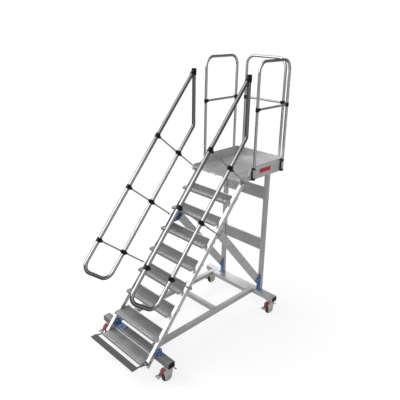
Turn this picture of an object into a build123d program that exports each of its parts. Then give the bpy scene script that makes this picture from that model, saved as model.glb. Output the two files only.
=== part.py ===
from build123d import *
from math import cos, radians, sin, tan
import os

# A rolling warehouse ladder: an inclined flight of box treads between two stringers, a guarded
# platform carried by two rear uprights, and a base of square tube on four braked swivel castors.
# All sizes are in millimetres. +Z is up and the flight rises towards +Y. In the saved pieces the
# floor is Z = 0 and the origin is the middle of the overall width and depth.

# ------------------------------------------------------------------ driving dimensions
floor_level = 17.0  # the floor, on the same scale as every height below
rise = 200.0  # height of one step
slope = radians(50)  # angle of the flight above the floor
run = rise / tan(slope)
tread_count = 8
nose_y = -1017.0  # front edge of the lowest tread
flight_z = 220.0  # height of the flight's reference line at nose_y

tread_top = 230.0
tread_depth = 190.0
first_tread_depth = 166.0  # the lowest tread stops in front of the base beam
tread_height = 30.0
tread_wall = 3.0
rib_width = 2.0
rib_height = 1.5
rib_pitch = 4.5
rib_count = 9
rear_lip = 4.0

stringer_inner = 331.0  # half distance between the stringers
stringer_width = 35.0
stringer_depth = 50.0
stringer_set_back = 49.0  # from the reference line to the stringer's front face
stringer_wall = 3.0
stringer_foot_y = nose_y + 68
stringer_outer = stringer_inner + stringer_width

tube_wall = 3.0
beam_half = 555.0
beam_depth = 80.0
beam_height = 60.0
beam_bottom = 201.0
beam_top = beam_bottom + beam_height
front_beam_y = nose_y + 207
rear_beam_y = nose_y + 1874
cap_thickness = 4.0
cap_plug = 15.0

rail_size = 50.0
left_rail_x = -417.0
right_rail_x = 222.0
mid_cross_y = nose_y + 1195
rear_cross_depth = 70.0
rail_z = beam_top - rail_size / 2

upright_size = 45.0
upright_x = 310.5
upright_y = nose_y + 1895.5
cross_plate_height = 150.0
cross_plate_depth = 18.0
cross_plate_z = (878.0, 1532.0)

strut_angle = radians(50)  # the struts lean forwards at this angle
strut_length = 1120.0
strut_width = 90.0
strut_thickness = 25.0
strut_x = 297.5
strut_foot = (nose_y + 1829.5, 435.0)

deck_top = 1835.0
deck_front = nose_y + 1350
deck_back = nose_y + 2123
deck_sheet = 4.0
deck_bottom = 1785.0
deck_lip = 20.0
deck_rib_height = 30.0
deck_rib_pitch = 115.0

board_outer = 354.0
board_thickness = 4.0
board_top = 1936.0
board_step_z = 1852.0
board_step_y = nose_y + 1500
board_rise_y = nose_y + 1545

handrail_x = 385.0
handrail_radius = 20.0
handrail_wall = 2.0
lower_rail = 262.0  # offset of the lower handrail from the reference line
upper_rail = 646.0
handrail_end = 540.0  # distance up the flight to the handrail's lower end
handrail_corner = 105.0  # bend radius at the lower end
handrail_post_y = nose_y + 1393
handrail_bend = 60.0
bar_radius = 8.0
bar_stations = (881.0, 1498.0, 2119.0)
clamp_radius = 26.0
clamp_length = 46.0
clamp_neck = 16.0
corner_gap = 58.0
post_cap_radius = 26.5
post_cap_leg = 46.0
post_cap_top = 24.0
slope_cap_radius = 25.0
slope_cap_leg = 50.0
slope_cap_top = 8.0
corner_trim = 15.0

hoop_radius = 15.0
hoop_wall = 2.0
hoop_bend = 105.0
hoop_top = 3020.0
hoop_bottom = 1786.0
side_hoop_y = (nose_y + 1567, nose_y + 2079)
rear_hoop_y = nose_y + 2142
rear_hoop_x = 273.0
mid_bar_z = 2545.0
mid_bar_radius = 12.5
connector_radius = 20.0
connector_length = 42.0
socket_radius = 17.5
socket_bottom = 1792.0
socket_top = 1928.0

bracket_plate = 6.0

foot_bar_half = 365.0
foot_bar_front = nose_y - 128
foot_bar_depth = 68.0
foot_bar_z = 235.0
foot_bar_thickness = 8.0
arm_x = 348.5
arm_thickness = 8.0
arm_height = 12.0
foot_pivot = (nose_y + 76, 195.5)
pin_radius = 5.0
running_clearance = 0.05

castor_x = 495.0
wheel_radius = 62.5
wheel_half = 17.0
castor_trail = 12.0
axle_z = floor_level + wheel_radius
axle_radius = 6.0
fork_half = 31.0
fork_sheet = 4.0
crown_bottom = 162.0
crown_top = 170.0
race_radius = 34.0
plate_bottom = beam_bottom - 6
kingpin_radius = 8.0
pedal_pivot = (-64.0, 156.0)
pedal_pin_radius = 4.0
pedal_barrel = 8.0

os.makedirs("parts", exist_ok=True)


def save(piece, label):
    """Brings a finished piece down so the floor is Z = 0, names it and writes its STEP file."""
    lowered = piece.moved(Location((0, 0, -floor_level)))
    lowered.label = label
    export_step(lowered, f"parts/{label}.step")


def side_plane(x):
    """A plane at x whose local axes are the frame's Y and Z."""
    return Plane(origin=(x, 0, 0), x_dir=(0, 1, 0), z_dir=(1, 0, 0))


def along_flight(distance, offset):
    """The (y, z) of a point, by distance up the reference line and offset out from it."""
    y = nose_y + distance * cos(slope) - offset * sin(slope)
    z = flight_z + distance * sin(slope) + offset * cos(slope)
    return y, z


def plane_at(x, yz, direction):
    """A plane at x and (y, z) whose normal is the (y, z) direction."""
    return Plane(origin=(x, *yz), x_dir=(1, 0, 0), z_dir=(0, *direction))


up_flight = (cos(slope), sin(slope))
out_of_flight = (-sin(slope), cos(slope))
upright_line = (0.0, 1.0)

# ------------------------------------------------------------------ stringers
tread_bolt_y = nose_y + (stringer_set_back + stringer_depth / 2) / sin(slope) - 4
tread_bolts_yz = [
    (tread_bolt_y + step * run, tread_top - tread_height / 2 + step * rise)
    for step in range(tread_count)
]
stringer_middle = -stringer_set_back - stringer_depth / 2
flight_length = 2300.0


def make_stringer(side):
    """A box tube up the flight, cut upright at its foot and level at its top."""
    middle_x = side * (stringer_inner + stringer_width / 2)
    with BuildPart() as stringer:
        with BuildSketch(plane_at(middle_x, along_flight(-100, stringer_middle), up_flight)):
            Rectangle(stringer_width, stringer_depth)
            Rectangle(
                stringer_width - 2 * stringer_wall,
                stringer_depth - 2 * stringer_wall,
                mode=Mode.SUBTRACT,
            )
        extrude(amount=flight_length)
        split(bisect_by=Plane((0, stringer_foot_y, 0), z_dir=(0, 1, 0)), keep=Keep.TOP)
        split(bisect_by=Plane((0, 0, deck_bottom), z_dir=(0, 0, -1)), keep=Keep.TOP)
        with BuildSketch(side_plane(middle_x)):
            with Locations(*tread_bolts_yz, foot_pivot):
                Circle(pin_radius)
        extrude(amount=stringer_width, both=True, mode=Mode.SUBTRACT)
    return stringer.part


save(make_stringer(-1), "left_stringer")
save(make_stringer(1), "right_stringer")

# ------------------------------------------------------------------ treads
cavity_count = 3


def make_tread(step, depth):
    """A box section across the flight, with grip ribs behind its nose and a lip at its back."""
    y = nose_y + step * run
    top = tread_top + step * rise
    cavity_width = (depth - (cavity_count + 1) * tread_wall) / cavity_count
    with BuildPart() as tread:
        with BuildSketch(side_plane(-stringer_inner)):
            with Locations((y + depth / 2, top - tread_height / 2)):
                RectangleRounded(depth, tread_height, 5)
                with GridLocations(cavity_width + tread_wall, 0, cavity_count, 1):
                    Rectangle(cavity_width, tread_height - 2 * tread_wall, mode=Mode.SUBTRACT)
            for rib in range(rib_count):
                with Locations((y + 8 + rib * rib_pitch, top + rib_height / 2)):
                    Rectangle(rib_width, rib_height)
            with Locations((y + depth - 8, top + rear_lip / 2)):
                Rectangle(rear_lip, rear_lip)
        extrude(amount=2 * stringer_inner)
    return tread.part


save(make_tread(0, first_tread_depth), "tread_1")
for step in range(1, tread_count):
    save(make_tread(step, tread_depth), f"tread_{step + 1}")

bolt_head = 6.5
bolt_reach = stringer_width + 14
with BuildPart() as tread_bolts:
    for side in (-1, 1):
        with BuildSketch(side_plane(side * stringer_outer)):
            with Locations(*tread_bolts_yz):
                RegularPolygon(9, 6)
        extrude(amount=side * bolt_head)
        with BuildSketch(side_plane(side * stringer_outer)):
            with Locations(*tread_bolts_yz):
                Circle(pin_radius)
        extrude(amount=-side * bolt_reach)
save(tread_bolts.part, "tread_bolts")


# ------------------------------------------------------------------ base frame
def make_tube(plane, width, height, length):
    """A box tube that starts on a plane, with its width along the plane's own x."""
    with BuildPart() as tube:
        with BuildSketch(plane):
            Rectangle(width, height)
            Rectangle(width - 2 * tube_wall, height - 2 * tube_wall, mode=Mode.SUBTRACT)
        extrude(amount=length)
    return tube.part


def beam_plane(y):
    """The left end of a cross beam."""
    return Plane(
        origin=(-beam_half, y, beam_bottom + beam_height / 2), x_dir=(0, 1, 0), z_dir=(1, 0, 0)
    )


save(make_tube(beam_plane(front_beam_y), beam_depth, beam_height, 2 * beam_half), "front_beam")
save(make_tube(beam_plane(rear_beam_y), beam_depth, beam_height, 2 * beam_half), "rear_beam")

with BuildPart() as beam_end_caps:
    for side in (-1, 1):
        for y in (front_beam_y, rear_beam_y):
            with BuildSketch(side_plane(side * beam_half)):
                with Locations((y, beam_bottom + beam_height / 2)):
                    RectangleRounded(beam_depth, beam_height, 3)
            extrude(amount=side * cap_thickness)
            with BuildSketch(side_plane(side * beam_half)):
                with Locations((y, beam_bottom + beam_height / 2)):
                    Rectangle(beam_depth - 2 * tube_wall, beam_height - 2 * tube_wall)
            extrude(amount=-side * cap_plug)
save(beam_end_caps.part, "beam_end_caps")

rail_start = front_beam_y + beam_depth / 2
rail_length = rear_beam_y - beam_depth / 2 - rail_start
with BuildPart() as side_rails:
    for x in (left_rail_x, right_rail_x):
        rail_plane = Plane(origin=(x, rail_start, rail_z), x_dir=(1, 0, 0), z_dir=(0, 1, 0))
        add(make_tube(rail_plane, rail_size, rail_size, rail_length))
save(side_rails.part, "side_rails")

cross_start = left_rail_x + rail_size / 2
cross_length = right_rail_x - left_rail_x - rail_size
rear_cross_y = rear_beam_y - beam_depth / 2 - rear_cross_depth / 2
for label, y, depth in (
    ("mid_cross_rail", mid_cross_y, rail_size),
    ("rear_cross_rail", rear_cross_y, rear_cross_depth),
):
    cross_plane = Plane(origin=(cross_start, y, rail_z), x_dir=(0, 1, 0), z_dir=(1, 0, 0))
    save(make_tube(cross_plane, depth, rail_size, cross_length), label)

# ------------------------------------------------------------------ rear uprights and struts
with BuildPart() as uprights:
    for side in (-1, 1):
        with BuildSketch(Plane.XY.offset(beam_top)):
            with Locations((side * upright_x, upright_y)):
                Rectangle(upright_size, upright_size)
                Rectangle(
                    upright_size - 2 * tube_wall,
                    upright_size - 2 * tube_wall,
                    mode=Mode.SUBTRACT,
                )
        extrude(amount=deck_top - deck_sheet - beam_top)
save(uprights.part, "uprights")

plate_half = upright_x - upright_size / 2
with BuildPart() as cross_plates:
    with BuildSketch(side_plane(-plate_half)):
        with Locations(*[(upright_y, z) for z in cross_plate_z]):
            RectangleRounded(cross_plate_depth, cross_plate_height, 3)
            Rectangle(
                cross_plate_depth - 2 * tube_wall,
                cross_plate_height - 2 * tube_wall,
                mode=Mode.SUBTRACT,
            )
    extrude(amount=2 * plate_half)
save(cross_plates.part, "cross_plates")

strut_line = (-cos(strut_angle), sin(strut_angle))
with BuildPart() as struts:
    for side in (-1, 1):
        with BuildSketch(plane_at(side * strut_x, strut_foot, strut_line)):
            Rectangle(strut_thickness, strut_width)
            Rectangle(
                strut_thickness - 2 * tube_wall,
                strut_width - 2 * tube_wall,
                mode=Mode.SUBTRACT,
            )
        extrude(amount=strut_length)
save(struts.part, "struts")

# ------------------------------------------------------------------ brackets
cheek = [
    (front_beam_y - 60, beam_top + 12),
    (front_beam_y - 60, beam_top + 26),
    (front_beam_y - 28, beam_top + 62),
    (front_beam_y + 20, beam_top + 62),
    (front_beam_y + 35, beam_top + 44),
    (front_beam_y + 35, beam_top),
    (front_beam_y - 35, beam_top),
]
with BuildPart() as stringer_brackets:
    for face_x, reach, width in ((-stringer_inner, 135.0, 70.0), (stringer_outer, 32.0, 54.0)):
        with BuildSketch(side_plane(face_x)):
            with BuildLine():
                Polyline(*cheek, close=True)
            make_face()
        extrude(amount=bracket_plate)
        with BuildSketch(Plane.XY.offset(beam_top)):
            with Locations((face_x + reach / 2, front_beam_y)):
                Rectangle(reach, width)
        extrude(amount=bracket_plate)
save(stringer_brackets.part, "stringer_brackets")

upright_front = upright_y - upright_size / 2
bracket_inner = strut_x - strut_thickness / 2 - bracket_plate
bracket_outer = upright_x + upright_size / 2
strut_outer = strut_x + strut_thickness / 2
foot_height = 212.0
foot_depth = 30.0
foot_cheek = [
    (upright_front, beam_top + 76),
    (upright_front, beam_top + foot_height),
    (upright_front - 12, beam_top + foot_height),
    (upright_front - 70, beam_top + 162),
    (upright_front - 62, beam_top + 132),
    (upright_front - 22, beam_top + 86),
]
with BuildPart() as strut_feet:
    for side in (-1, 1):
        middle_x = side * (bracket_inner + bracket_outer) / 2
        for depth, height in ((bracket_plate, foot_height), (foot_depth, bracket_plate)):
            with BuildSketch(Plane.XY.offset(beam_top)):
                with Locations((middle_x, upright_front - depth / 2)):
                    Rectangle(bracket_outer - bracket_inner, depth)
            extrude(amount=height)
        for cheek_x in (bracket_inner, strut_outer):
            with BuildSketch(side_plane(side * cheek_x)):
                with BuildLine():
                    Polyline(*foot_cheek, close=True)
                make_face()
            extrude(amount=side * bracket_plate)
save(strut_feet.part, "strut_feet")

top_cheek = [
    (nose_y + 958, 1242),
    (nose_y + 1092, 1242),
    (nose_y + 1150, 1312),
    (nose_y + 1112, 1352),
    (nose_y + 1022, 1352),
]
with BuildPart() as strut_top_plates:
    for side in (-1, 1):
        with BuildSketch(side_plane(side * strut_outer)):
            with BuildLine():
                Polyline(*top_cheek, close=True)
            make_face()
        extrude(amount=side * (stringer_inner - strut_outer))
save(strut_top_plates.part, "strut_top_plates")

# ------------------------------------------------------------------ platform
deck_half = board_outer - board_thickness
deck_middle = (deck_front + deck_back) / 2
deck_depth = deck_back - deck_front
sheet_bottom = deck_top - deck_sheet
with BuildPart() as platform_deck:
    with BuildSketch(Plane.XY.offset(sheet_bottom)):
        with Locations((0, deck_middle)):
            Rectangle(2 * deck_half, deck_depth)
    extrude(amount=deck_sheet)
    with BuildSketch(Plane.XY.offset(deck_bottom)):
        for side in (-1, 1):
            with Locations((side * (deck_half - deck_sheet / 2), deck_middle)):
                Rectangle(deck_sheet, deck_depth)
        with Locations((0, deck_back - deck_sheet / 2)):
            Rectangle(2 * deck_half, deck_sheet)
    extrude(amount=sheet_bottom - deck_bottom)
    with BuildSketch(Plane.XY.offset(deck_top - deck_lip)):
        with Locations((0, deck_front + deck_sheet / 2)):
            Rectangle(2 * deck_half, deck_sheet)
    extrude(amount=deck_lip - deck_sheet)
    with BuildSketch(Plane.XY.offset(sheet_bottom - deck_rib_height)):
        with Locations((0, deck_middle)):
            with GridLocations(deck_rib_pitch, 0, 5, 1):
                Rectangle(deck_sheet, deck_depth - 10)
    extrude(amount=deck_rib_height)
save(platform_deck.part, "platform_deck")

board_profile = [
    (deck_front, deck_bottom),
    (deck_front, board_step_z - 20),
    (deck_front + 20, board_step_z),
    (board_step_y, board_step_z),
    (board_rise_y, board_top),
    (deck_back, board_top),
    (deck_back, deck_bottom),
]
with BuildPart() as side_toe_boards:
    for side in (-1, 1):
        with BuildSketch(side_plane(side * deck_half)):
            with BuildLine():
                Polyline(*board_profile, close=True)
            make_face()
        extrude(amount=side * board_thickness)
save(side_toe_boards.part, "side_toe_boards")

with BuildPart() as rear_toe_board:
    with BuildSketch(Plane.XY.offset(deck_bottom)):
        with Locations((0, deck_back + board_thickness / 2)):
            Rectangle(2 * board_outer, board_thickness)
    extrude(amount=board_top - deck_bottom)
save(rear_toe_board.part, "rear_toe_board")

# ------------------------------------------------------------------ stair handrails
post_bottom = (handrail_post_y - nose_y + lower_rail * sin(slope)) / cos(slope)
post_top = (handrail_post_y - nose_y + upper_rail * sin(slope)) / cos(slope)
upper_turn = (handrail_end + handrail_corner, upper_rail)
lower_turn = (handrail_end + handrail_corner, lower_rail)
upper_base = (handrail_end, upper_rail - handrail_corner)
lower_base = (handrail_end, lower_rail + handrail_corner)
bend_cut = handrail_bend * tan((radians(90) - slope) / 2)
bend_start = (post_bottom - bend_cut, lower_rail)
bend_end = (post_bottom + bend_cut * sin(slope), lower_rail + bend_cut * cos(slope))
upper_end = (post_top - corner_gap, upper_rail)
post_end = (post_top - corner_gap * sin(slope), upper_rail - corner_gap * cos(slope))


def flight_plane(x):
    """A plane at x whose local axes run up the flight and out of it."""
    return Plane(origin=(x, nose_y, flight_z), x_dir=(0, *up_flight), z_dir=(1, 0, 0))


corner_yz = along_flight(post_top, upper_rail)
mitre_plane = Plane((0, *corner_yz), z_dir=(0, up_flight[0], up_flight[1] - 1))


def corner_point(direction, distance):
    """The (y, z) on one leg of the handrail, by distance down from the corner."""
    return corner_yz[0] - distance * direction[0], corner_yz[1] - distance * direction[1]


def make_corner_stub(side, direction, kept):
    """The last length of one leg, cut on the plane that halves the handrail's corner."""
    start = corner_point(direction, corner_gap)
    with BuildPart() as stub:
        with BuildSketch(plane_at(side * handrail_x, start, direction)):
            Circle(handrail_radius)
            Circle(handrail_radius - handrail_wall, mode=Mode.SUBTRACT)
        extrude(amount=corner_gap - corner_trim)
        split(bisect_by=mitre_plane, keep=kept)
    return stub.part


for label, side in (("left_handrail", -1), ("right_handrail", 1)):
    with BuildPart() as handrail:
        with BuildLine(flight_plane(side * handrail_x)) as handrail_path:
            Line(upper_end, upper_turn)
            RadiusArc(upper_turn, upper_base, -handrail_corner)
            Line(upper_base, lower_base)
            RadiusArc(lower_base, lower_turn, -handrail_corner)
            Line(lower_turn, bend_start)
            RadiusArc(bend_start, bend_end, -handrail_bend)
            Line(bend_end, post_end)
        with BuildSketch(plane_at(side * handrail_x, along_flight(*upper_end), up_flight)):
            Circle(handrail_radius)
            Circle(handrail_radius - handrail_wall, mode=Mode.SUBTRACT)
        sweep(path=handrail_path.wires()[0])
        add(make_corner_stub(side, up_flight, Keep.BOTTOM))
        add(make_corner_stub(side, upright_line, Keep.TOP))
    save(handrail.part, label)

corner_legs = (
    (upright_line, post_cap_radius, post_cap_leg, post_cap_top),
    (up_flight, slope_cap_radius, slope_cap_leg, slope_cap_top),
)
with BuildPart() as handrail_corners:
    for side in (-1, 1):
        for direction, radius, leg, overrun in corner_legs:
            with BuildSketch(plane_at(side * handrail_x, corner_point(direction, leg), direction)):
                Circle(radius)
            extrude(amount=leg + overrun)
    for side in (-1, 1):
        for direction in (up_flight, upright_line):
            leg_start = corner_point(direction, corner_gap + handrail_radius)
            with BuildSketch(plane_at(side * handrail_x, leg_start, direction)):
                Circle(handrail_radius)
            extrude(
                amount=corner_gap + handrail_radius - corner_trim,
                mode=Mode.SUBTRACT,
            )
save(handrail_corners.part, "handrail_corners")

bar_foot = stringer_middle
boss_radius = 13.0
with BuildPart() as handrail_bars:
    for side in (-1, 1):
        x = side * handrail_x
        for station in bar_stations:
            with BuildSketch(plane_at(x, along_flight(station, bar_foot), out_of_flight)):
                Circle(bar_radius)
            extrude(amount=lower_rail - handrail_radius - bar_foot)
            middle_foot = along_flight(station, lower_rail + handrail_radius)
            with BuildSketch(plane_at(x, middle_foot, out_of_flight)):
                Circle(bar_radius)
            extrude(amount=upper_rail - lower_rail - 2 * handrail_radius)
            with BuildSketch(side_plane(side * stringer_outer)):
                with Locations(along_flight(station, bar_foot)):
                    Circle(boss_radius)
            extrude(amount=side * (handrail_x + bar_radius + 3 - stringer_outer))
save(handrail_bars.part, "handrail_bars")

rail_planes = []
neck_planes = []
for side in (-1, 1):
    for station in bar_stations:
        for offset in (lower_rail, upper_rail):
            centre = along_flight(station, offset)
            rail_planes.append(plane_at(side * handrail_x, centre, up_flight))
            neck_offsets = [offset - clamp_radius]
            if offset == lower_rail:
                neck_offsets.append(offset + clamp_radius)
            for neck in neck_offsets:
                neck_centre = along_flight(station, neck)
                neck_planes.append(plane_at(side * handrail_x, neck_centre, out_of_flight))
with BuildPart() as handrail_clamps:
    with Locations(*rail_planes):
        Cylinder(clamp_radius, clamp_length)
    with Locations(*neck_planes):
        Cylinder(clamp_neck, 36)
    with Locations(*rail_planes):
        Cylinder(handrail_radius, 2 * clamp_length, mode=Mode.SUBTRACT)
    with Locations(*neck_planes):
        Cylinder(bar_radius, 60, mode=Mode.SUBTRACT)
save(handrail_clamps.part, "handrail_clamps")


# ------------------------------------------------------------------ platform guardrail
def make_hoop(path_plane, half_span, foot_plane):
    """An upside-down U of tube with rounded corners, on a plane whose local axes are span and Z."""
    with BuildPart() as hoop:
        with BuildLine(path_plane) as hoop_path:
            FilletPolyline(
                (-half_span, hoop_bottom),
                (-half_span, hoop_top),
                (half_span, hoop_top),
                (half_span, hoop_bottom),
                radius=hoop_bend,
            )
        with BuildSketch(foot_plane):
            Circle(hoop_radius)
            Circle(hoop_radius - hoop_wall, mode=Mode.SUBTRACT)
        sweep(path=hoop_path.wires()[0])
    return hoop.part


side_hoop_x = board_outer + hoop_radius
side_hoop_middle = sum(side_hoop_y) / 2
side_hoop_half = (side_hoop_y[1] - side_hoop_y[0]) / 2
for label, side in (("left_guard_hoop", -1), ("right_guard_hoop", 1)):
    x = side * side_hoop_x
    path_plane = Plane((x, side_hoop_middle, 0), x_dir=(0, 1, 0), z_dir=(1, 0, 0))
    foot_plane = Plane((x, side_hoop_y[0], hoop_bottom))
    save(make_hoop(path_plane, side_hoop_half, foot_plane), label)
rear_path_plane = Plane((0, rear_hoop_y, 0), x_dir=(1, 0, 0), z_dir=(0, -1, 0))
rear_foot_plane = Plane((-rear_hoop_x, rear_hoop_y, hoop_bottom))
save(make_hoop(rear_path_plane, rear_hoop_x, rear_foot_plane), "rear_guard_hoop")

bar_gap = hoop_radius + 1.5
side_bar = 2 * side_hoop_half - 2 * bar_gap
rear_bar = 2 * rear_hoop_x - 2 * bar_gap
side_bar_planes = [
    Plane((side * side_hoop_x, side_hoop_middle, mid_bar_z), z_dir=(0, 1, 0)) for side in (-1, 1)
]
rear_bar_plane = Plane((0, rear_hoop_y, mid_bar_z), z_dir=(1, 0, 0))
with BuildPart() as guard_mid_bars:
    with Locations(*side_bar_planes):
        Cylinder(mid_bar_radius, side_bar)
        Cylinder(mid_bar_radius - hoop_wall, side_bar, mode=Mode.SUBTRACT)
    with Locations(rear_bar_plane):
        Cylinder(mid_bar_radius, rear_bar)
        Cylinder(mid_bar_radius - hoop_wall, rear_bar, mode=Mode.SUBTRACT)
save(guard_mid_bars.part, "guard_mid_bars")

side_legs = [(side * side_hoop_x, y) for side in (-1, 1) for y in side_hoop_y]
rear_legs = [(side * rear_hoop_x, rear_hoop_y) for side in (-1, 1)]
neck_reach = 34.0
with BuildPart() as guard_connectors:
    with Locations(*[(x, y, mid_bar_z) for x, y in side_legs + rear_legs]):
        Cylinder(connector_radius, connector_length)
    for x, y in side_legs:
        towards = 1 if y < side_hoop_middle else -1
        with Locations(Plane((x, y + towards * neck_reach / 2, mid_bar_z), z_dir=(0, 1, 0))):
            Cylinder(mid_bar_radius + 4, neck_reach)
    for x, y in rear_legs:
        towards = 1 if x < 0 else -1
        with Locations(Plane((x + towards * neck_reach / 2, y, mid_bar_z), z_dir=(1, 0, 0))):
            Cylinder(mid_bar_radius + 4, neck_reach)
    with Locations(*[(x, y, mid_bar_z) for x, y in side_legs + rear_legs]):
        Cylinder(hoop_radius, 2 * connector_length, mode=Mode.SUBTRACT)
    with Locations(*side_bar_planes):
        Cylinder(mid_bar_radius, side_bar, mode=Mode.SUBTRACT)
    with Locations(rear_bar_plane):
        Cylinder(mid_bar_radius, rear_bar, mode=Mode.SUBTRACT)
save(guard_connectors.part, "guard_connectors")

flange_half = 24.0
flange_thickness = 4.0
strap_height = 22.0  # the band around the leg at each end of a socket
with BuildPart() as hoop_socket:
    with BuildSketch(Plane.XY.offset(socket_bottom)):
        for side in (-1, 1):
            wing_x = side * (hoop_radius + flange_half) / 2
            with Locations((wing_x, flange_thickness / 2 - hoop_radius)):
                Rectangle(flange_half - hoop_radius, flange_thickness)
    extrude(amount=socket_top - socket_bottom)
    for strap_bottom in (socket_bottom, socket_top - strap_height):
        with BuildSketch(Plane.XY.offset(strap_bottom)):
            Circle(socket_radius)
            with Locations((0, -hoop_radius / 2)):
                Rectangle(2 * socket_radius, hoop_radius)
                Rectangle(2 * hoop_radius, hoop_radius, mode=Mode.SUBTRACT)
            Circle(hoop_radius, mode=Mode.SUBTRACT)
            with Locations((0, -1.5 * hoop_radius)):
                Rectangle(2 * socket_radius, hoop_radius, mode=Mode.SUBTRACT)
        extrude(amount=strap_height)

# A socket is built with its board behind it, at -Y, then turned to face out from each board.
with BuildPart() as hoop_sockets:
    for x, y in side_legs:
        add(hoop_socket.part.moved(Location((x, y, 0), (0, 0, -90 if x > 0 else 90))))
    for x, y in rear_legs:
        add(hoop_socket.part.moved(Location((x, y, 0))))
save(hoop_sockets.part, "hoop_sockets")

# ------------------------------------------------------------------ foot bar
strip_y = foot_bar_front + foot_bar_depth / 2
arm_front = (foot_bar_front + foot_bar_depth - 10, foot_bar_z)
arm_span = Vector(foot_pivot[0] - arm_front[0], foot_pivot[1] - arm_front[1])
arm_angle = arm_span.get_angle(Vector(1, 0))
with BuildPart() as foot_bar:
    with BuildSketch(Plane.XY.offset(foot_bar_z - foot_bar_thickness / 2)):
        with Locations((0, strip_y)):
            RectangleRounded(2 * foot_bar_half, foot_bar_depth, 4)
    extrude(amount=foot_bar_thickness)
    for side in (-1, 1):
        with BuildSketch(side_plane(side * arm_x)):
            with Locations(
                ((arm_front[0] + foot_pivot[0]) / 2, (arm_front[1] + foot_pivot[1]) / 2)
            ):
                Rectangle(arm_span.length, arm_height, rotation=-arm_angle)
            with Locations(foot_pivot):
                Circle(arm_height)
        extrude(amount=arm_thickness / 2, both=True)
    with BuildSketch(side_plane(0)):
        with Locations(foot_pivot):
            Circle(pin_radius + running_clearance)
    extrude(amount=stringer_outer, both=True, mode=Mode.SUBTRACT)
save(foot_bar.part, "foot_bar")

pin_head = 3.0
with BuildPart() as foot_bar_pins:
    for side in (-1, 1):
        with BuildSketch(side_plane(side * stringer_outer)):
            with Locations(foot_pivot):
                Circle(9)
        extrude(amount=side * pin_head)
        with BuildSketch(side_plane(side * stringer_outer)):
            with Locations(foot_pivot):
                Circle(pin_radius)
        extrude(amount=-side * stringer_width)
save(foot_bar_pins.part, "foot_bar_pins")

# ------------------------------------------------------------------ castors
# One castor is built with its swivel axis on Z through the origin, then copied to each corner.
fork_inner = fork_half - fork_sheet
with BuildPart() as castor_plate:
    with BuildSketch(Plane.XY.offset(plate_bottom)):
        RectangleRounded(100, beam_depth, 6)
    extrude(amount=beam_bottom - plate_bottom)
    with BuildSketch(Plane.XY.offset(crown_top + 14)):
        Circle(race_radius - 4)
    extrude(amount=plate_bottom - crown_top - 14)
    with BuildSketch(Plane.XY.offset(crown_bottom - 4)):
        Circle(kingpin_radius)
    extrude(amount=plate_bottom - crown_bottom + 4)
    with BuildSketch(Plane.XY.offset(crown_bottom - 8)):
        Circle(12)
    extrude(amount=7)

cover_radius = 46.0  # the legs widen to a disc about the axle
leg_outline = [
    (-66, crown_top),
    (-74, 162),
    (-74, 150),
    (-castor_trail - 43, axle_z + 10),
    (-castor_trail + 43, axle_z + 10),
    (44, 130),
    (38, crown_top),
]
tongue_half = 18.0
tongue = [
    (30, crown_top - 4),
    (46, crown_top - 4),
    (92, 106),
    (107, 102),
    (106, 95),
    (88, 98),
    (42, crown_top - 12),
    (30, crown_top - 12),
]
with BuildPart() as castor_fork:
    with BuildSketch(Plane.XY.offset(crown_bottom)):
        with Locations((0, -1)):
            RectangleRounded(2 * fork_half, 74, 8)
    extrude(amount=crown_top - crown_bottom)
    with BuildSketch(Plane.XY.offset(crown_top)):
        Circle(race_radius)
    extrude(amount=13)
    for side in (-1, 1):
        with BuildSketch(side_plane(side * fork_inner)):
            with BuildLine():
                Polyline(*leg_outline, close=True)
            make_face()
            with Locations((-castor_trail, axle_z)):
                Circle(cover_radius)
        extrude(amount=side * fork_sheet)
    with BuildSketch(side_plane(-tongue_half)):
        with BuildLine():
            Polyline(*tongue, close=True)
        make_face()
    extrude(amount=2 * tongue_half)
    with BuildSketch(Plane.XY):
        Circle(kingpin_radius + running_clearance)
    extrude(amount=beam_bottom, mode=Mode.SUBTRACT)
    with BuildSketch(side_plane(-fork_half)):
        with Locations((-castor_trail, axle_z)):
            Circle(axle_radius + running_clearance)
        with Locations(pedal_pivot):
            Circle(pedal_pin_radius + running_clearance)
    extrude(amount=2 * fork_half, mode=Mode.SUBTRACT)

with BuildPart() as castor_axle:
    with BuildSketch(side_plane(-fork_half)):
        with Locations((-castor_trail, axle_z)):
            Circle(axle_radius)
    extrude(amount=2 * fork_half)
    for side in (-1, 1):
        with BuildSketch(side_plane(side * fork_half)):
            with Locations((-castor_trail, axle_z)):
                RegularPolygon(10, 6)
        extrude(amount=side * 7)

hub_rim = 44.0
hub_profile = [
    (axle_radius + running_clearance, 25),
    (16, 25),
    (18, 8),
    (34, 5),
    (36, wheel_half - 2),
    (hub_rim, wheel_half - 2),
    (hub_rim, 0),
    (axle_radius + running_clearance, 0),
]
axle_axis = Axis((0, -castor_trail, axle_z), (1, 0, 0))
wheel_plane = Plane(origin=(0, -castor_trail, axle_z), x_dir=(0, 0, 1), z_dir=(0, -1, 0))
with BuildPart() as castor_hub:
    with BuildSketch(wheel_plane):
        with BuildLine():
            Polyline(*hub_profile, close=True)
        make_face()
        mirror(about=Plane.XZ)
    revolve(axis=axle_axis)

tyre_shoulder = 7.0
with BuildPart() as castor_tyre:
    with BuildSketch(wheel_plane):
        with BuildLine():
            Polyline(
                (hub_rim, -wheel_half),
                (wheel_radius - tyre_shoulder, -wheel_half),
            )
            ThreePointArc(
                (wheel_radius - tyre_shoulder, -wheel_half),
                (wheel_radius, 0),
                (wheel_radius - tyre_shoulder, wheel_half),
            )
            Polyline(
                (wheel_radius - tyre_shoulder, wheel_half),
                (hub_rim, wheel_half),
                (hub_rim, -wheel_half),
            )
        make_face()
    revolve(axis=axle_axis)

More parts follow.
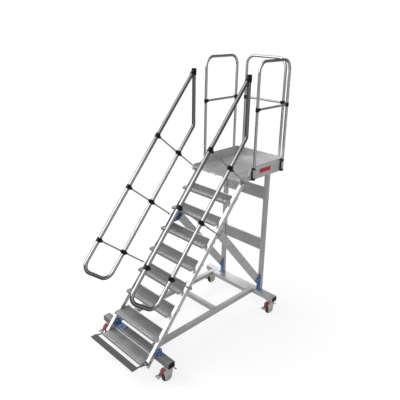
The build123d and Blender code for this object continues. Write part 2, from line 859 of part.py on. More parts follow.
pedal_half = 18.0
pad_half = 24.0
pad_bottom = 122.0
pad_thickness = 9.0
pad_span = (-140.0, -110.0)
pedal_outline = [
    (-44, 182),
    (-50, 189),
    (-58, 188),
    (-80, 164),
    (-96, 140),
    (-104, 134),
    (-138, 131),
    (-138, 123),
    (-102, 124),
    (-90, 130),
    (-76, 152),
    (-54, 174),
]
with BuildPart() as castor_pedal:
    with BuildSketch(side_plane(-pedal_half)):
        with BuildLine():
            Polyline(*pedal_outline, close=True)
        make_face()
        fillet(vertices(), 2.5)
        with Locations(pedal_pivot):
            Circle(pedal_barrel)
    extrude(amount=2 * pedal_half)
    with BuildSketch(Plane.XY.offset(pad_bottom)):
        with Locations((0, sum(pad_span) / 2)):
            RectangleRounded(2 * pad_half, pad_span[1] - pad_span[0], 4)
    extrude(amount=pad_thickness)
    with BuildSketch(side_plane(-fork_half)):
        with Locations(pedal_pivot):
            Circle(pedal_pin_radius)
    extrude(amount=2 * fork_half)

corners = (
    ("front_left", -castor_x, front_beam_y),
    ("front_right", castor_x, front_beam_y),
    ("rear_left", -castor_x, rear_beam_y),
    ("rear_right", castor_x, rear_beam_y),
)
with BuildPart() as castor_plates:
    for _, x, y in corners:
        add(castor_plate.part.moved(Location((x, y, 0))))
save(castor_plates.part, "castor_plates")

for corner, x, y in corners:
    place = Location((x, y, 0))
    save(castor_fork.part.moved(place), f"{corner}_fork")
    save(castor_axle.part.moved(place), f"{corner}_axle")
    save(castor_hub.part.moved(place), f"{corner}_hub")
    save(castor_tyre.part.moved(place), f"{corner}_tyre")
    save(castor_pedal.part.moved(place), f"{corner}_brake_pedal")
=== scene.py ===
from math import cos, pi, radians, sin

import bmesh
import bpy
from mathutils import Matrix, Vector


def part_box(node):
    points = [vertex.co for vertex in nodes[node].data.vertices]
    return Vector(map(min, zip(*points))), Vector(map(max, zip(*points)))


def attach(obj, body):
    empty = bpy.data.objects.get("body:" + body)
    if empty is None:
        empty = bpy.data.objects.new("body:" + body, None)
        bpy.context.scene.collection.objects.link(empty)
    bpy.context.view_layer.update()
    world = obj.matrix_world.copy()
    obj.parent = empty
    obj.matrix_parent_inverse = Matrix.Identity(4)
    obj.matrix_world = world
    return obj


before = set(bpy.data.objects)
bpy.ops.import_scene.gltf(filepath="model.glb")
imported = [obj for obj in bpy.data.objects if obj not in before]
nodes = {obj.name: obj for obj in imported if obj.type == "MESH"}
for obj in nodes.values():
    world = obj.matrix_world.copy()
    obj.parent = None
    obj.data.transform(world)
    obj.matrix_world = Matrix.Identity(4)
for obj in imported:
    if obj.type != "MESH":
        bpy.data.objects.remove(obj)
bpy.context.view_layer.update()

CORNERS = ("front_left", "front_right", "rear_left", "rear_right")
SLOPE = radians(50)
# Turns that lay a material's grain along each kind of profile.
ALONG_X = (0, 0, 0)
ALONG_Y = (0, 0, pi / 2)
ALONG_Z = (0, pi / 2, 0)
ALONG_FLIGHT = (SLOPE, 0, pi / 2)
ALONG_STRUT = (pi - SLOPE, 0, pi / 2)


# ---------------------------------------------------------------- materials
class Surface:
    """A node-based material around one Principled shader."""

    def __init__(self, name, metallic, roughness, **inputs):
        self.material = bpy.data.materials.new(name)
        self.material.use_nodes = True
        self.tree = self.material.node_tree
        self.shader = self.tree.nodes["Principled BSDF"]
        self.shader.inputs["Metallic"].default_value = metallic
        self.shader.inputs["Roughness"].default_value = roughness
        for key, value in inputs.items():
            self.shader.inputs[key.replace("_", " ")].default_value = value
        self.coords = self.node("ShaderNodeTexCoord").outputs["Object"]
        self.normal = None

    def node(self, kind, links=None, **settings):
        """Adds a node. Settings are its properties, links its inputs by name or number."""
        made = self.tree.nodes.new(kind)
        for key, value in settings.items():
            setattr(made, key, value)
        for key, value in (links or {}).items():
            if isinstance(value, bpy.types.NodeSocket):
                self.tree.links.new(value, made.inputs[key])
            else:
                made.inputs[key].default_value = value
        return made

    def mapped(self, scale=(1, 1, 1), turn=(0, 0, 0)):
        """Object coordinates, turned so that the grain runs along x, then scaled."""
        turned = self.node("ShaderNodeVectorRotate", {"Vector": self.coords, "Rotation": turn},
                           rotation_type="EULER_XYZ", invert=True)
        return self.node("ShaderNodeVectorMath", {0: turned.outputs[0], 1: scale},
                         operation="MULTIPLY").outputs[0]

    def noise(self, vector, scale, detail, roughness=0.55):
        return self.node("ShaderNodeTexNoise", {
            "Vector": vector, "Scale": scale, "Detail": detail, "Roughness": roughness,
        }).outputs["Fac"]

    def remap(self, value, low, high, to_low, to_high):
        return self.node("ShaderNodeMapRange", {
            "Value": value, "From Min": low, "From Max": high, "To Min": to_low, "To Max": to_high,
        }).outputs[0]

    def mix(self, factor, first, second):
        made = self.node("ShaderNodeMix", data_type="RGBA")
        for index, value in ((0, factor), (6, first), (7, second)):
            if isinstance(value, bpy.types.NodeSocket):
                self.tree.links.new(value, made.inputs[index])
            else:
                made.inputs[index].default_value = value
        return made.outputs[2]

    def maths(self, operation, first, second):
        return self.node("ShaderNodeMath", {0: first, 1: second}, operation=operation).outputs[0]

    def edges(self, radius=0.002):
        """How sharply the surface turns here: 0 on a flat face and up to 1 on an edge."""
        rounded = self.node("ShaderNodeBevel", {"Radius": radius}, samples=4).outputs[0]
        flat = self.node("ShaderNodeNewGeometry").outputs["Normal"]
        dot = self.node("ShaderNodeVectorMath", {0: rounded, 1: flat}, operation="DOT_PRODUCT")
        return self.remap(dot.outputs["Value"], 0.999, 0.8, 0.0, 1.0)

    def soften(self, radius):
        """Rounds sharp edges in the shading."""
        self.normal = self.node("ShaderNodeBevel", {"Radius": radius}, samples=4).outputs[0]

    def bump(self, height, distance, strength):
        links = {"Height": height, "Distance": distance, "Strength": strength}
        if self.normal is not None:
            links["Normal"] = self.normal
        self.normal = self.node("ShaderNodeBump", links).outputs[0]

    def finish(self, color, roughness):
        """Joins the last sockets to the shader and returns the material."""
        inputs = {"Base Color": color, "Roughness": roughness, "Normal": self.normal}
        for key, socket in inputs.items():
            self.tree.links.new(socket, self.shader.inputs[key])
        return self.material


def grey(value):
    """A very slightly cool grey."""
    return (value, value * 1.002, value * 1.01, 1)


def aluminium(name, turn, tone, rough=0.36, grain=1.0, metallic=0.85):
    """Extruded aluminium: die lines along the profile, soft mottling, scuffs and bright edges."""
    s = Surface(name, metallic, rough)
    lines = s.noise(s.mapped((1.2, 420, 420), turn), 1.0, 4.0)
    bands = s.noise(s.mapped((0.35, 38, 38), turn), 1.0, 2.0)
    mottle = s.noise(s.mapped((1, 1, 1), turn), 7.0, 5.0)
    scuffs = s.noise(s.mapped((26, 150, 150), (turn[0], turn[1] + 0.5, turn[2] + 0.3)), 1.0, 6.0)
    scuff_mask = s.remap(scuffs, 0.63, 0.72, 0.0, 1.0)
    s.soften(0.0012)
    s.bump(lines, 0.00012 * grain, 0.6)
    s.bump(mottle, 0.0002, 0.15)
    dark = grey(tone * 0.80)
    light = grey(min(1.0, tone * 1.16))
    color = s.mix(s.remap(bands, 0.3, 0.7, 0.0, 1.0), dark, light)
    color = s.mix(s.remap(lines, 0.35, 0.65, 0.0, 0.35), color, grey(tone * 0.72))
    color = s.mix(s.remap(mottle, 0.35, 0.75, 0.0, 0.30), color, grey(min(1.0, tone * 1.25)))
    color = s.mix(s.maths("MULTIPLY", scuff_mask, 0.35), color, grey(tone * 0.6))
    color = s.mix(s.maths("MULTIPLY", s.edges(), 0.5), color, grey(min(1.0, tone * 1.6)))
    wear = s.maths("ADD", s.remap(mottle, 0.3, 0.7, rough - 0.07, rough + 0.09),
                   s.maths("MULTIPLY", scuff_mask, 0.15))
    return s.finish(color, wear)


def polished_tube(name, rim_shade, shade_above=0.0, top_shade=0.0):
    """Drawn and polished tube with hairlines and hand marks. Its sides are painted darker, down to
    the rim shade's tone, as painted shade, and it is painted darker above a height, also painted
    shade."""
    s = Surface(name, 1.0, 0.16)
    hair = s.noise(s.mapped((260, 260, 12)), 1.0, 5.0)
    smudge = s.noise(s.mapped(), 16.0, 4.0)
    s.bump(hair, 0.00003, 0.3)
    color = s.mix(s.remap(smudge, 0.35, 0.7, 0.0, 1.0), grey(0.86), grey(0.72))
    color = s.mix(s.remap(hair, 0.45, 0.7, 0.0, 0.35), color, grey(0.5))
    facing = s.node("ShaderNodeLayerWeight", {"Blend": 0.5}).outputs["Facing"]
    height = s.node("ShaderNodeSeparateXYZ", {0: s.coords}).outputs[2]
    # Painted shade: darker above a height, and darker towards the sides where the tube turns away.
    color = s.mix(s.remap(height, shade_above, shade_above + 0.35, 0.0, top_shade), color, grey(0.15))
    color = s.mix(s.remap(facing, 0.10, 0.46, 0.0, 1.0), color, grey(rim_shade))
    return s.finish(color, s.remap(smudge, 0.3, 0.75, 0.11, 0.27))


def paint(name, color, chip, rough=0.33, chips=0.6, coat=0.25, bare_side=False):
    """Sprayed paint with orange peel, dust, and chips along its edges down to the metal.
    With bare_side, whatever lies on +X is left unpainted."""
    s = Surface(name, 0.0, rough, Coat_Weight=coat, Coat_Roughness=0.18)
    peel = s.noise(s.mapped(), 420.0, 2.0)
    patches = s.noise(s.mapped(), 22.0, 5.0)
    flakes = s.noise(s.mapped(), 190.0, 4.0, 0.7)
    worn = s.maths("MULTIPLY", s.edges(0.0022), s.remap(flakes, 0.5, 0.6, 0.0, 1.0))
    s.soften(0.0012)
    s.bump(peel, 0.0002, 0.35)
    deep = tuple(c * 0.72 for c in color) + (1,)
    pale = tuple(min(1.0, c * 1.25 + 0.01) for c in color) + (1,)
    base = s.mix(s.remap(patches, 0.3, 0.7, 0.0, 1.0), deep, pale)
    bare = s.maths("MULTIPLY", worn, chips)
    if bare_side:
        across = s.node("ShaderNodeSeparateXYZ", {0: s.coords}).outputs[0]
        bare = s.maths("MAXIMUM", bare, s.maths("GREATER_THAN", across, 0.0))
    base = s.mix(bare, base, chip)
    s.tree.links.new(bare, s.shader.inputs["Metallic"])
    return s.finish(base, s.remap(patches, 0.3, 0.7, rough - 0.06, rough + 0.12))


def plastic(name, tone, rough, tint=(1.0, 1.0, 1.0)):
    """Moulded plastic with a fine spark-eroded grain and handling marks."""
    s = Surface(name, 0.0, rough, Specular_IOR_Level=0.25)
    grain = s.noise(s.mapped(), 900.0, 2.0)
    cloud = s.noise(s.mapped(), 35.0, 5.0)
    s.soften(0.0015)
    s.bump(grain, 0.00025, 0.4)
    low = tuple(tone * 0.75 * c for c in tint) + (1,)
    high = tuple(tone * 1.35 * c for c in tint) + (1,)
    color = s.mix(s.remap(cloud, 0.3, 0.7, 0.0, 1.0), low, high)
    color = s.mix(s.maths("MULTIPLY", s.edges(), 0.4), color,
                  tuple(min(1.0, tone * 2.4 + 0.01) * c for c in tint) + (1,))
    return s.finish(color, s.remap(cloud, 0.3, 0.75, rough - 0.08, rough + 0.14))


def rubber(name, tone):
    """Tyre rubber with a dusty, scuffed rolling face."""
    s = Surface(name, 0.0, 0.75)
    dust = s.noise(s.mapped(), 60.0, 6.0, 0.65)
    grit = s.noise(s.mapped(), 700.0, 3.0)
    s.soften(0.0015)
    s.bump(grit, 0.0004, 0.5)
    color = s.mix(s.remap(dust, 0.35, 0.75, 0.0, 1.0), grey(tone), grey(tone * 3.2))
    return s.finish(color, s.remap(dust, 0.3, 0.7, 0.6, 0.88))


def zinc(name, tone, metallic=0.9):
    """Zinc-plated pressed steel: a faint green-grey bloom, spangle and small scratches."""
    s = Surface(name, metallic, 0.33)
    bloom = s.noise(s.mapped(), 30.0, 5.0)
    cells = s.node("ShaderNodeTexVoronoi", {"Vector": s.mapped(), "Scale": 150.0})
    spangle = s.node("ShaderNodeSeparateColor", {0: cells.outputs["Color"]}).outputs[0]
    scratch = s.noise(s.mapped((20, 300, 300), (0.4, 0.7, 0.2)), 1.0, 5.0)
    s.soften(0.0012)
    s.bump(scratch, 0.0001, 0.5)
    green = (tone * 0.86, tone * 0.94, tone * 0.87, 1)
    warm = (tone * 1.08, tone * 1.06, tone * 0.98, 1)
    color = s.mix(s.remap(bloom, 0.3, 0.7, 0.0, 1.0), green, warm)
    color = s.mix(s.remap(spangle, 0.0, 1.0, 0.0, 0.25), color, grey(tone * 1.3))
    color = s.mix(s.maths("MULTIPLY", s.edges(), 0.5), color, grey(min(1.0, tone * 1.6)))
    return s.finish(color, s.remap(bloom, 0.3, 0.7, 0.25, 0.45))


PAINT_BLUE = (0.042, 0.125, 0.28)
PAINT_RED = (0.17, 0.010, 0.020)
MATERIALS = {
    # The front beam is a darker copy of the beam aluminium: painted shade where the treads shade
    # it.
    "shaded_beam_front": aluminium("aluminium_front_beam_painted_shade", ALONG_X, 0.36),
    "beam": aluminium("aluminium_beam", ALONG_X, 0.62),
    "rail": aluminium("aluminium_side_rail", ALONG_Y, 0.56),
    "upright": aluminium("aluminium_upright", ALONG_Z, 0.60),
    "stringer": aluminium("aluminium_stringer", ALONG_FLIGHT, 0.72),
    "strut": aluminium("aluminium_strut", ALONG_STRUT, 0.62),
    "tread": aluminium("aluminium_tread", ALONG_X, 0.36, 0.42, 2.2),
    "grip": aluminium("aluminium_grip", ALONG_X, 0.60, 0.35, 0.5),
    # The lip aluminium is near white: a painted highlight along the back edge of each tread.
    "lip": aluminium("aluminium_lip_painted_highlight", ALONG_X, 0.95, 0.45, 0.4, 0.3),
    "sheet": aluminium("aluminium_sheet", ALONG_Y, 0.68, 0.40),
    "plate": aluminium("aluminium_cross_plate", ALONG_X, 0.52, 0.40),
    "tube": polished_tube("polished_tube", 0.26),
    # The handrail gets a near-black painted rim shade and painted shade above 1.9 m.
    "handrail": polished_tube("polished_handrail", 0.045, 1.90, 0.72),
    "bar": aluminium("aluminium_bar", ALONG_Y, 0.40, 0.30, 0.5),
    "blue": paint("blue_paint", PAINT_BLUE, grey(0.55)),
    "blue_left": paint("blue_paint_left_plate", PAINT_BLUE, grey(0.50), bare_side=True),
    "red": paint("red_paint", PAINT_RED, grey(0.40), 0.42, 0.25, 0.05),
    "dark": aluminium("dark_grey_strip", ALONG_X, 0.11, 0.48, 2.0, 0.55),
    "black": plastic("black_plastic", 0.004, 0.42),
    "pad": plastic("grey_plastic_pad", 0.30, 0.45, (0.95, 1.0, 0.94)),
    "hub": plastic("grey_hub_plastic", 0.10, 0.40),
    "rubber": rubber("tyre_rubber", 0.020),
    "zinc": zinc("zinc_plate", 0.55, 0.6),
    "steel": zinc("bolt_steel", 0.55),
    "weld": aluminium("weld_bead", ALONG_X, 0.62, 0.45, 0.5),
    "sticker": plastic("plain_red_sticker", 0.36, 0.35, (1.0, 0.06, 0.08)),
}
SUFFIX_LOOKS = {"_fork": "zinc", "_axle": "steel", "_hub": "hub", "_tyre": "rubber",
                "_brake_pedal": "red"}
NODE_LOOKS = {
    "front_beam": "shaded_beam_front", "rear_beam": "beam", "side_rails": "rail",
    "mid_cross_rail": "beam", "rear_cross_rail": "beam", "uprights": "upright",
    "cross_plates": "plate", "struts": "strut", "strut_top_plates": "blue_left",
    "left_stringer": "stringer", "right_stringer": "stringer", "platform_deck": "sheet",
    "side_toe_boards": "sheet", "rear_toe_board": "plate", "stringer_brackets": "blue",
    "strut_feet": "blue", "left_handrail": "handrail", "right_handrail": "handrail",
    "handrail_bars": "bar", "handrail_clamps": "black", "handrail_corners": "black",
    "left_guard_hoop": "tube", "right_guard_hoop": "tube", "rear_guard_hoop": "tube",
    "guard_mid_bars": "bar", "guard_connectors": "black", "hoop_sockets": "black",
    "beam_end_caps": "black", "castor_plates": "zinc", "foot_bar": "dark",
    "foot_bar_pins": "steel", "tread_bolts": "steel",
}
for name, node in nodes.items():
    look = NODE_LOOKS.get(name)
    if name.startswith("tread_") and look is None:
        look = "tread"
    for suffix, part_look in SUFFIX_LOOKS.items():
        if name.endswith(suffix):
            look = part_look
    node.data.materials.clear()
    node.data.materials.append(MATERIALS[look])


# ---------------------------------------------------------------- small built pieces
SHARP_ANGLE = radians(32)
BEAD_STEP = 0.0035  # distance between a weld bead's ripples
BEAD_SIDES = 6


def new_piece(name, mesh_builder, look, body, smooth=True):
    """Runs mesh_builder on a fresh bmesh and makes a piece that rides on a body."""
    mesh = bpy.data.meshes.new(name)
    built = bmesh.new()
    mesh_builder(built)
    bmesh.ops.recalc_face_normals(built, faces=built.faces)
    built.to_mesh(mesh)
    built.free()
    if smooth:
        mesh.polygons.foreach_set("use_smooth", [True] * len(mesh.polygons))
        mesh.set_sharp_from_angle(angle=SHARP_ANGLE)
    mesh.materials.append(MATERIALS[look])
    piece = bpy.data.objects.new(name, mesh)
    bpy.context.scene.collection.objects.link(piece)
    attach(piece, body)


def frame_about(axis):
    """Two directions at right angles to an axis."""
    axis = Vector(axis).normalized()
    side = axis.orthogonal().normalized() if abs(axis.x) < 0.9 else Vector((0, 1, 0))
    side = (side - axis * side.dot(axis)).normalized()
    return side, axis.cross(side)


def add_rings(built, centre, axis, rings, sides):
    """Lofts circles of (radius, height) along an axis and closes both ends."""
    first, second = frame_about(axis)
    axis = Vector(axis).normalized()
    loops = []
    for radius, height in rings:
        loop = []
        for index in range(sides):
            angle = 2 * pi * index / sides
            offset = first * cos(angle) * radius + second * sin(angle) * radius
            loop.append(built.verts.new(Vector(centre) + axis * height + offset))
        loops.append(loop)
    for lower, upper in zip(loops, loops[1:]):
        for index in range(sides):
            after = (index + 1) % sides
            built.faces.new((lower[index], lower[after], upper[after], upper[index]))
    built.faces.new(list(reversed(loops[0])))
    built.faces.new(loops[-1])


def add_bolt(built, centre, axis, radius=0.0065, height=0.005):
    """A washer with a chamfered hexagon head, or nut, on top of it."""
    washer = radius * 1.45
    add_rings(built, centre, axis,
              [(washer, -0.0005), (washer, 0.0009), (washer * 0.94, 0.0014)], 20)
    add_rings(built, centre, axis, [
        (radius, 0.001), (radius, height * 0.78), (radius * 0.86, height),
        (radius * 0.5, height), (radius * 0.42, height - 0.0006),
    ], 6)


def add_socket_screw(built, centre, axis, radius=0.0045, height=0.003):
    """A low round screw head with a hexagon socket sunk in it."""
    add_rings(built, centre, axis, [
        (radius, -0.0005), (radius, height * 0.55), (radius * 0.82, height),
        (radius * 0.5, height), (radius * 0.45, height * 0.3), (radius * 0.1, height * 0.3),
    ], 18)


def add_bead(built, points, radius=0.0028):
    """A rippled weld bead along a closed line through the points."""
    path = []
    for start, end in zip(points, points[1:] + points[:1]):
        steps = max(2, round((end - start).length / BEAD_STEP))
        path.extend(start.lerp(end, step / steps) for step in range(steps))
    angles = [2 * pi * side / BEAD_SIDES for side in range(BEAD_SIDES)]
    total = len(path)
    loops = []
    for index, point in enumerate(path):
        first, second = frame_about(path[(index + 1) % total] - path[index - 1])
        swell = radius * (1 + 0.16 * sin(index * 2.1))
        loops.append([built.verts.new(point + (first * cos(angle) + second * sin(angle)) * swell)
                      for angle in angles])
    for index in range(total):
        lower, upper = loops[index], loops[(index + 1) % total]
        for side in range(BEAD_SIDES):
            after = (side + 1) % BEAD_SIDES
            built.faces.new((lower[side], lower[after], upper[after], upper[side]))


def rectangle(centre, first, second):
    """The corners of a rectangle about a centre, from its two half-side vectors."""
    centre, first, second = Vector(centre), Vector(first), Vector(second)
    return [centre + first + second, centre + first - second,
            centre - first - second, centre - first + second]


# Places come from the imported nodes. These few sizes are inside them.
PLATE = 0.006  # brackets, strut feet and castor plates
CROSS_PLATE_HEIGHT = 0.150
SMALL_BOLT = {"radius": 0.0052, "height": 0.0045}
CASTOR_BOLT = {"radius": 0.0050, "height": 0.0045}
BOARD_SCREW = {"radius": 0.0055, "height": 0.0032}
SOCKET_SCREW = {"radius": 0.0035, "height": 0.0025}
SOCKET_WALL = 0.004
SCREW_OFFSET = 0.0195  # from a hoop's leg to a screw of its socket
HOOP_LEGS = (0.217, 0.729)  # along Y from the front of the side boards
REAR_LEG_X = 0.273
TREADS = range(1, 9)

front_low, front_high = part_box("front_beam")
rails_low, rails_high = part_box("side_rails")
mid_low, mid_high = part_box("mid_cross_rail")
back_low, back_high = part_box("rear_cross_rail")
up_low, up_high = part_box("uprights")
plates_low, plates_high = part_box("cross_plates")
deck_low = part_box("platform_deck")[0]
board_low, board_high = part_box("side_toe_boards")
rear_board_low, rear_board_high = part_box("rear_toe_board")
RAIL = rails_high.z - rails_low.z
UPRIGHT = up_high.y - up_low.y
rail_xs = (rails_low.x + RAIL / 2, rails_high.x - RAIL / 2)
rail_z = (rails_low.z + rails_high.z) / 2
upright_xs = (up_low.x + UPRIGHT / 2, up_high.x - UPRIGHT / 2)
upright_y = (up_low.y + up_high.y) / 2


def build_welds(built):
    """Beads round the ends of the rails, cross rails, uprights and cross plates."""
    half = RAIL / 2
    for x in rail_xs:
        for y in (rails_low.y, rails_high.y):
            add_bead(built, rectangle((x, y, rail_z), (half, 0, 0), (0, 0, half)))
    for low, high in ((mid_low, mid_high), (back_low, back_high)):
        deep = (high.y - low.y) / 2
        for x in (low.x, high.x):
            middle = (x, (low.y + high.y) / 2, rail_z)
            add_bead(built, rectangle(middle, (0, deep, 0), (0, 0, half)))
    for x in upright_xs:
        add_bead(built, rectangle((x, upright_y, up_low.z), (UPRIGHT / 2, 0, 0),
                                  (0, UPRIGHT / 2, 0)))
    half_height = CROSS_PLATE_HEIGHT / 2
    half_thickness = (plates_high.y - plates_low.y) / 2
    for z in (plates_low.z + half_height, plates_high.z - half_height):
        for x in (plates_low.x, plates_high.x):
            corners = rectangle((x, upright_y, z), (0, half_thickness, 0), (0, 0, half_height))
            add_bead(built, corners, radius=0.0022)


new_piece("weld_beads", build_welds, "weld", "frame")


def build_bracket_bolts(built):
    """Bolts of the brackets on the front beam and of the feet of the struts."""
    beam_y = (front_low.y + front_high.y) / 2
    left_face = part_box("stringer_brackets")[0].x + PLATE
    right_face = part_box("right_stringer")[1].x + PLATE
    for dy in (-0.019, 0.019):
        for face_x in (left_face, right_face):
            add_bolt(built, (face_x, beam_y + dy, front_high.z + 0.042), (1, 0, 0))
        for bolt_x in (left_face + 0.05, left_face + 0.111, right_face + 0.014):
            add_bolt(built, (bolt_x, beam_y + dy * 0.8, front_high.z + PLATE), (0, 0, 1))
    feet_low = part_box("strut_feet")[0]
    front = up_low.y - PLATE
    strut_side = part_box("struts")[1].x + PLATE
    for side in (-1, 1):
        for dz in (0.105, 0.145, 0.190):
            place = (side * 0.3215, front, feet_low.z + dz)
            add_bolt(built, place, (0, -1, 0), **SMALL_BOLT)
        for dx in (0.290, 0.320):
            place = (side * dx, feet_low.y + 0.048, feet_low.z + PLATE)
            add_bolt(built, place, (0, 0, 1), **SMALL_BOLT)
        for dy, dz in ((-0.052, 0.158), (-0.030, 0.128)):
            place = (side * strut_side, up_low.y + dy, feet_low.z + dz)
            add_bolt(built, place, (side, 0, 0), **SMALL_BOLT)


new_piece("bracket_bolts", build_bracket_bolts, "steel", "frame")


def build_castor_bolts(built):
    """Four bolts under each castor plate."""
    for corner in CORNERS:
        fork_low, fork_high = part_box(corner + "_fork")
        x = (fork_low.x + fork_high.x) / 2
        beam_low, beam_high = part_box(corner.split("_")[0] + "_beam")
        y = (beam_low.y + beam_high.y) / 2
        for dx in (-0.040, 0.040):
            for dy in (-0.029, 0.029):
                place = (x + dx, y + dy, beam_low.z - PLATE)
                add_bolt(built, place, (0, 0, -1), **CASTOR_BOLT)


new_piece("castor_plate_bolts", build_castor_bolts, "steel", "frame")


def build_board_screws(built):
    """Screws that hold the toe boards and the hoops' sockets."""
    for side in (-1, 1):
        for dy in (0.035, 0.095, 0.145):
            place = (side * board_high.x, board_low.y + dy, deck_low.z + 0.030)
            add_socket_screw(built, place, (side, 0, 0), **BOARD_SCREW)
    for x in (-0.26, -0.13, 0.0, 0.13, 0.26):
        place = (x, rear_board_high.y, deck_low.z + 0.034)
        add_socket_screw(built, place, (0, 1, 0), **BOARD_SCREW)
    sockets_low, sockets_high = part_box("hoop_sockets")
    screw_zs = (sockets_low.z + 0.02, sockets_high.z - 0.02)
    for side in (-1, 1):
        for leg in HOOP_LEGS:
            for dy in (-SCREW_OFFSET, SCREW_OFFSET):
                for z in screw_zs:
                    place = (side * (board_high.x + SOCKET_WALL), board_low.y + leg + dy, z)
                    add_socket_screw(built, place, (side, 0, 0), **SOCKET_SCREW)
        for dx in (-SCREW_OFFSET, SCREW_OFFSET):
            for z in screw_zs:
                place = (side * REAR_LEG_X + dx, rear_board_high.y + SOCKET_WALL, z)
                add_socket_screw(built, place, (0, 1, 0), **SOCKET_SCREW)


new_piece("board_screws", build_board_screws, "steel", "frame")


def add_prism(built, profile, left, right):
    """Extrudes a closed (y, z) profile along X."""
    ends = [[built.verts.new((x, y, z)) for y, z in profile] for x in (left, right)]
    for index in range(len(profile)):
        after = (index + 1) % len(profile)
        built.faces.new((ends[0][index], ends[0][after], ends[1][after], ends[1][index]))
    built.faces.new(ends[0])
    built.faces.new(list(reversed(ends[1])))


def build_grips(built):
    """Short teeth along the first ribs of every tread."""
    pitch, teeth, half_tooth = 0.008, 82, 0.0022
    first_rib, rib_pitch, ribs = 0.008, 0.0045, 4
    for number in TREADS:
        low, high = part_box(f"tread_{number}")
        top = high.z - 0.0025
        for rib in range(ribs):
            y = low.y + first_rib + rib * rib_pitch
            profile = [(y - 0.0013, top - 0.0008), (y - 0.0008, top + 0.0012),
                       (y + 0.0008, top + 0.0012), (y + 0.0013, top - 0.0008)]
            for tooth in range(teeth):
                x = (tooth - (teeth - 1) / 2) * pitch
                add_prism(built, profile, x - half_tooth, x + half_tooth)


new_piece("tread_grips", build_grips, "grip", "frame", smooth=False)


def build_lip_highlights(built):
    """Near-white strips along the back lip of every tread, a painted highlight."""
    chamfer, end_gap = 0.0005, 0.001
    for number in TREADS:
        low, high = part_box(f"tread_{number}")
        front, back = high.y - 0.0105, high.y - 0.0055
        bottom, shoulder, top = high.z - 0.0036, high.z - 0.0002, high.z + 0.0004
        profile = [(front, bottom), (front, shoulder), (front + chamfer, top),
                   (back - chamfer, top), (back, shoulder), (back, bottom)]
        add_prism(built, profile, low.x + end_gap, high.x - end_gap)


new_piece("tread_lip_painted_highlights", build_lip_highlights, "lip", "frame", smooth=False)


def build_end_plates(built):
    """Thin plates that close the ends of the treads."""
    inset, lip_height = 0.0025, 0.004
    near_end, far_from_end = 0.0003, 0.0015
    for number in TREADS:
        low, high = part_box(f"tread_{number}")
        front, back = low.y + inset, high.y - inset
        bottom, top = low.z + inset, high.z - lip_height - inset
        profile = [(front, bottom), (back, bottom), (back, top), (front, top)]
        add_prism(built, profile, low.x + near_end, low.x + far_from_end)
        add_prism(built, profile, high.x - far_from_end, high.x - near_end)


new_piece("tread_end_plates", build_end_plates, "grip", "frame", smooth=False)


def build_sticker(built):
    """A plain patch on the outer face of the right toe board."""
    middle_y, middle_z = board_low.y + 0.433, rear_board_low.z + 0.078
    half_width, half_height, thickness, sunk = 0.095, 0.024, 0.0006, 0.0002
    front, back = middle_y - half_width, middle_y + half_width
    bottom, top = middle_z - half_height, middle_z + half_height
    add_prism(built, [(front, bottom), (back, bottom), (back, top), (front, top)],
              board_high.x - sunk, board_high.x + thickness)


new_piece("plain_sticker", build_sticker, "sticker", "frame", smooth=False)


def pad_builder(corner):
    """Gives the builder of a ribbed sleeve pushed over the end of a brake pedal."""
    wall, nose, half_width = 0.0012, 0.0014, 0.0255
    ribs, rib_pitch, rib_height = 6, 0.005, 0.0026

    def build(built):
        low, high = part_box(corner + "_brake_pedal")
        middle = (low.x + high.x) / 2
        back, front = low.y + 0.030, low.y
        bottom, top = low.z, low.z + 0.009
        profile = [(back, bottom - wall)]
        for rib in range(ribs):
            y = back - 0.0015 - rib * rib_pitch
            profile += [(y, top + wall), (y - 0.0008, top + rib_height),
                        (y - 0.0030, top + rib_height), (y - 0.0038, top + wall)]
        profile += [(front - nose, top - 0.001), (front - nose, bottom), (front, bottom - wall)]
        add_prism(built, profile, middle - half_width, middle + half_width)

    return build


for corner in CORNERS:
    new_piece(corner + "_pedal_pad", pad_builder(corner), "pad", corner + "_brake",
              smooth=False)

# ---------------------------------------------------------------- set, light and camera
floor_mesh = bpy.data.meshes.new("floor")
built = bmesh.new()
bmesh.ops.create_grid(built, x_segments=8, y_segments=8, size=30)
built.to_mesh(floor_mesh)
built.free()
floor = bpy.data.objects.new("floor", floor_mesh)
bpy.context.scene.collection.objects.link(floor)
floor_look = bpy.data.materials.new("floor")
floor_look.use_nodes = True
floor_mesh.materials.append(floor_look)
tree = floor_look.node_tree
principled = tree.nodes["Principled BSDF"]
principled.inputs["Base Color"].default_value = (0.86, 0.86, 0.86, 1)
principled.inputs["Roughness"].default_value = 0.9
rays = tree.nodes.new("ShaderNodeLightPath")
place = tree.nodes.new("ShaderNodeNewGeometry").outputs["Position"]


def floor_ramp(measure, low, high, to_low, to_high):
    """Maps a measure's range onto another in the floor's material."""
    made = tree.nodes.new("ShaderNodeMapRange")
    for key, value in (("From Min", low), ("From Max", high),
                       ("To Min", to_low), ("To Max", to_high)):
        made.inputs[key].default_value = value
    tree.links.new(measure, made.inputs["Value"])
    return made.outputs[0]


def floor_mix(factor, first, second):
    """Mixes two shaders of the floor's material."""
    made = tree.nodes.new("ShaderNodeMixShader")
    for index, socket in enumerate((factor, first, second)):
        tree.links.new(socket, made.inputs[index])
    return made.outputs[0]


# The camera sees the floor fade to white, with only soft shadows near the ladder.
reach = tree.nodes.new("ShaderNodeVectorMath")
reach.operation = "LENGTH"
tree.links.new(place, reach.inputs[0])
white = tree.nodes.new("ShaderNodeEmission")
white.inputs["Strength"].default_value = 1.02
fade = floor_ramp(reach.outputs["Value"], 1.2, 2.4, 0.80, 1.0)
seen_floor = floor_mix(fade, principled.outputs[0], white.outputs[0])
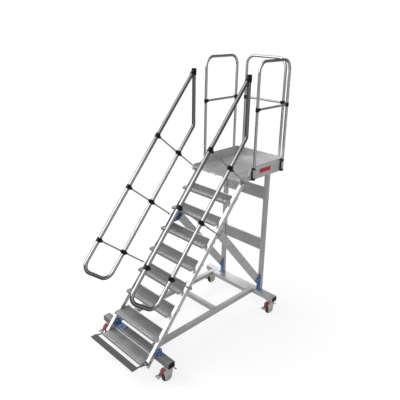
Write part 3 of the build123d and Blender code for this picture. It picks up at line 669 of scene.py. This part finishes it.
# Metal reflects a darker floor in front and a lighter one behind.
lean = tree.nodes.new("ShaderNodeVectorMath")
lean.operation = "DOT_PRODUCT"
lean.inputs[1].default_value = (1, 1, 0)
tree.links.new(place, lean.inputs[0])
mirrored = tree.nodes.new("ShaderNodeEmission")
glow = floor_ramp(lean.outputs["Value"], -1.0, 1.2, 0.24, 0.46)
tree.links.new(glow, mirrored.inputs["Strength"])
lit = floor_mix(rays.outputs["Is Glossy Ray"], principled.outputs[0], mirrored.outputs[0])
shown = floor_mix(rays.outputs["Is Camera Ray"], lit, seen_floor)
tree.links.new(shown, tree.nodes["Material Output"].inputs["Surface"])

# Metal mirrors a bright quarter of the sky, matt surfaces get an even light, and the camera
# sees white.
world = bpy.data.worlds.new("studio")
bpy.context.scene.world = world
world.use_nodes = True
tree = world.node_tree
tree.nodes.clear()
coords = tree.nodes.new("ShaderNodeTexCoord")
towards = tree.nodes.new("ShaderNodeVectorMath")
towards.operation = "DOT_PRODUCT"
towards.inputs[1].default_value = Vector((-0.55, -0.60, 0.58)).normalized()
tree.links.new(coords.outputs["Generated"], towards.inputs[0])
ramp = tree.nodes.new("ShaderNodeMapRange")
ramp.interpolation_type = "SMOOTHSTEP"
for key, value in (("From Min", 0.25), ("From Max", 0.95), ("To Min", 0.30), ("To Max", 2.6)):
    ramp.inputs[key].default_value = value
tree.links.new(towards.outputs["Value"], ramp.inputs["Value"])
reflected = tree.nodes.new("ShaderNodeBackground")
tree.links.new(ramp.outputs[0], reflected.inputs["Strength"])
seen = tree.nodes.new("ShaderNodeBackground")
seen.inputs["Color"].default_value = (1, 1, 1, 1)
seen.inputs["Strength"].default_value = 1.0
soft = tree.nodes.new("ShaderNodeBackground")
soft.inputs["Strength"].default_value = 0.75
rays = tree.nodes.new("ShaderNodeLightPath")
diffuse_mix = tree.nodes.new("ShaderNodeMixShader")
tree.links.new(rays.outputs["Is Diffuse Ray"], diffuse_mix.inputs[0])
tree.links.new(reflected.outputs[0], diffuse_mix.inputs[1])
tree.links.new(soft.outputs[0], diffuse_mix.inputs[2])
camera_mix = tree.nodes.new("ShaderNodeMixShader")
tree.links.new(rays.outputs["Is Camera Ray"], camera_mix.inputs[0])
tree.links.new(diffuse_mix.outputs[0], camera_mix.inputs[1])
tree.links.new(seen.outputs[0], camera_mix.inputs[2])
output = tree.nodes.new("ShaderNodeOutputWorld")
tree.links.new(camera_mix.outputs[0], output.inputs["Surface"])


def add_softbox(name, place, target, size, power, glossy=False):
    """A round lamp aimed at a target. Metal mirrors it only if it is glossy."""
    lamp = bpy.data.lights.new(name, "AREA")
    lamp.shape = "DISK"
    lamp.size = size
    lamp.energy = power
    holder = bpy.data.objects.new(name, lamp)
    holder.location = place
    holder.rotation_mode = "QUATERNION"
    holder.visible_camera = False
    holder.visible_glossy = glossy
    holder.rotation_quaternion = (Vector(place) - Vector(target)).to_track_quat("Z", "Y")
    bpy.context.scene.collection.objects.link(holder)


add_softbox("key_light", (-3.5, -4.5, 6.5), (0, 0, 1.2), 4.0, 420)
add_softbox("fill_light", (6.0, -3.0, 5.0), (0, 0, 1.0), 5.0, 120)
add_softbox("rear_glow", (-2.6, 3.5, 1.6), (0, 0.8, 0.2), 1.6, 14, glossy=True)

CAMERA_PLACE = (3.3129, -3.2041, 3.4005)
FOCAL_LENGTH = 41.72
YAW, PITCH, ROLL = radians(45.0), radians(-21.5), radians(0.8)
looking = Vector((-sin(YAW) * cos(PITCH), cos(YAW) * cos(PITCH), sin(PITCH)))
level = Vector((cos(YAW), sin(YAW), 0))
upwards = level.cross(looking)
across = level * cos(ROLL) + upwards * sin(ROLL)
upwards = across.cross(looking)
basis = Matrix((across, upwards, -looking)).transposed().to_4x4()
camera_data = bpy.data.cameras.new("camera")
camera_data.lens = FOCAL_LENGTH
camera_data.sensor_width = 36
camera_data.clip_end = 200
camera = bpy.data.objects.new("camera", camera_data)
camera.matrix_world = Matrix.Translation(CAMERA_PLACE) @ basis
bpy.context.scene.collection.objects.link(camera)
bpy.context.scene.camera = camera
bpy.context.scene.view_settings.view_transform = "Standard"
